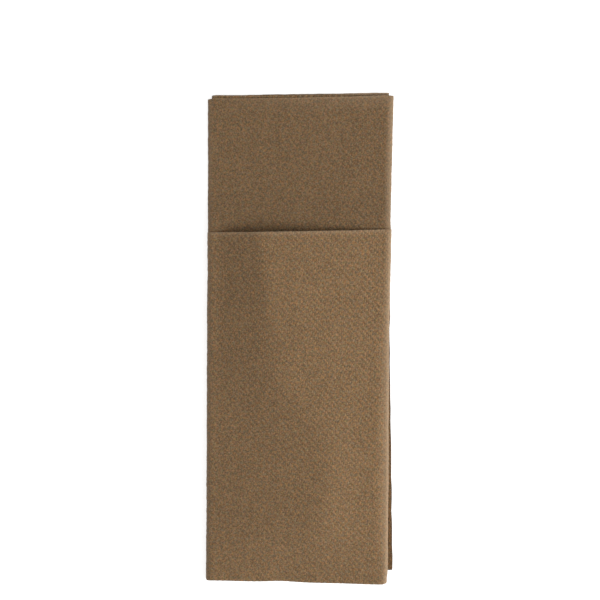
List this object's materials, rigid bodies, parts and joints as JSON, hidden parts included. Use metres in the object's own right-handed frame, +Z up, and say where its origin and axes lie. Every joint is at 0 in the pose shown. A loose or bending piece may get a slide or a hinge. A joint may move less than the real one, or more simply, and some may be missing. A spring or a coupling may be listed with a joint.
{
  "type": "paper napkin",
  "caption": "Folded paper napkin lying flat, with a hemmed pocket across its front that stands a little open for cutlery.",
  "frame": {"origin": "middle of the outline, on the underside that the napkin lies on", "axes": "+Z up through the folded layers, +Y from the closed foot to the cut head, +X to the right seen from above"},
  "size_m": [0.077, 0.2024, 0.0128],
  "materials": {
    "napkin_paper": "matt, finely embossed"
  },
  "bodies": {
    "root": {"napkin": "napkin_paper"}
  },
  "joints": []
}
